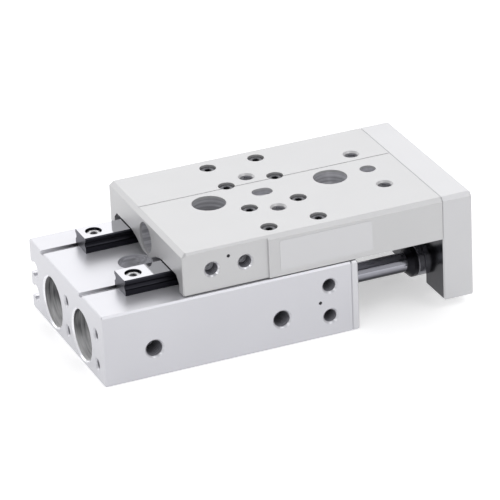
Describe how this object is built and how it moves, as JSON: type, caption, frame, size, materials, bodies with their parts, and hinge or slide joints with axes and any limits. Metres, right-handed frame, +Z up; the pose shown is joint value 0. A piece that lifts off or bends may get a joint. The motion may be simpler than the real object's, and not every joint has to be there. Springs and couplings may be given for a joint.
{
  "type": "pneumatic slide table",
  "caption": "Compact pneumatic slide table: a twin-cylinder block drives a flat drilled table on ball guide rails in a straight line.",
  "frame": {"origin": "on the mounting face, midway between the two mounting screw holes", "axes": "+X the way the table moves out, +Y to the side with the switch slots, +Z up from the mounting face"},
  "size_m": [0.0979, 0.05, 0.03],
  "materials": {
    "anodised_body": "satin clear anodised",
    "anodised_plate": "satin clear anodised",
    "anodised_table": "satin clear anodised",
    "anodised_end_plate": "satin clear anodised",
    "anodised_plug": "turned aluminium",
    "screw_steel": "plated socket screws",
    "rail_steel": "dark hardened steel, ground bright on top",
    "spring_steel": "phosphated spring steel",
    "ball_steel": "polished",
    "rod_steel": "polished",
    "bush_steel": "turned steel",
    "collar_black": "blackened steel",
    "cap_plastic": "black moulded",
    "seal_rubber": "black nitrile rubber",
    "bumper_rubber": "urethane rubber",
    "magnet": "sintered magnet"
  },
  "bodies": {
    "cylinder": {"cylinder_body": "anodised_body", "far_circlip": "spring_steel", "far_cover_o_ring": "seal_rubber", "far_front_bumper": "bumper_rubber", "far_guide_rail": "rail_steel", "far_plug_o_ring": "seal_rubber", "far_rail_screws": "screw_steel", "far_rear_bumper": "bumper_rubber", "far_rear_plug": "anodised_plug", "far_rod_cover": "anodised_plug", "far_rod_seal": "seal_rubber", "front_plate": "anodised_plate", "front_plate_screws": "screw_steel", "near_circlip": "spring_steel", "near_cover_o_ring": "seal_rubber", "near_front_bumper": "bumper_rubber", "near_guide_rail": "rail_steel", "near_plug_o_ring": "seal_rubber", "near_rail_screws": "screw_steel", "near_rear_bumper": "bumper_rubber", "near_rear_plug": "anodised_plug", "near_rod_cover": "anodised_plug", "near_rod_seal": "seal_rubber"},
    "slide": {"end_plate": "anodised_end_plate", "end_plate_screws": "screw_steel", "far_block_end_caps": "cap_plastic", "far_block_screws": "screw_steel", "far_guide_balls": "ball_steel", "far_guide_block": "rail_steel", "far_piston": "anodised_plug", "far_piston_magnet": "magnet", "far_piston_rod": "rod_steel", "far_piston_seal": "seal_rubber", "far_rod_bush": "bush_steel", "far_rod_collar": "collar_black", "near_block_end_caps": "cap_plastic", "near_block_screws": "screw_steel", "near_guide_balls": "ball_steel", "near_guide_block": "rail_steel", "near_piston": "anodised_plug", "near_piston_magnet": "magnet", "near_piston_rod": "rod_steel", "near_piston_seal": "seal_rubber", "near_rod_bush": "bush_steel", "near_rod_collar": "collar_black", "rod_end_screws": "screw_steel", "table": "anodised_table"}
  },
  "joints": [
    {"name": "table_slide", "type": "slide", "parent": "cylinder", "child": "slide", "axis": [1, 0, 0], "range_m": [-0.02, 0]}
  ]
}
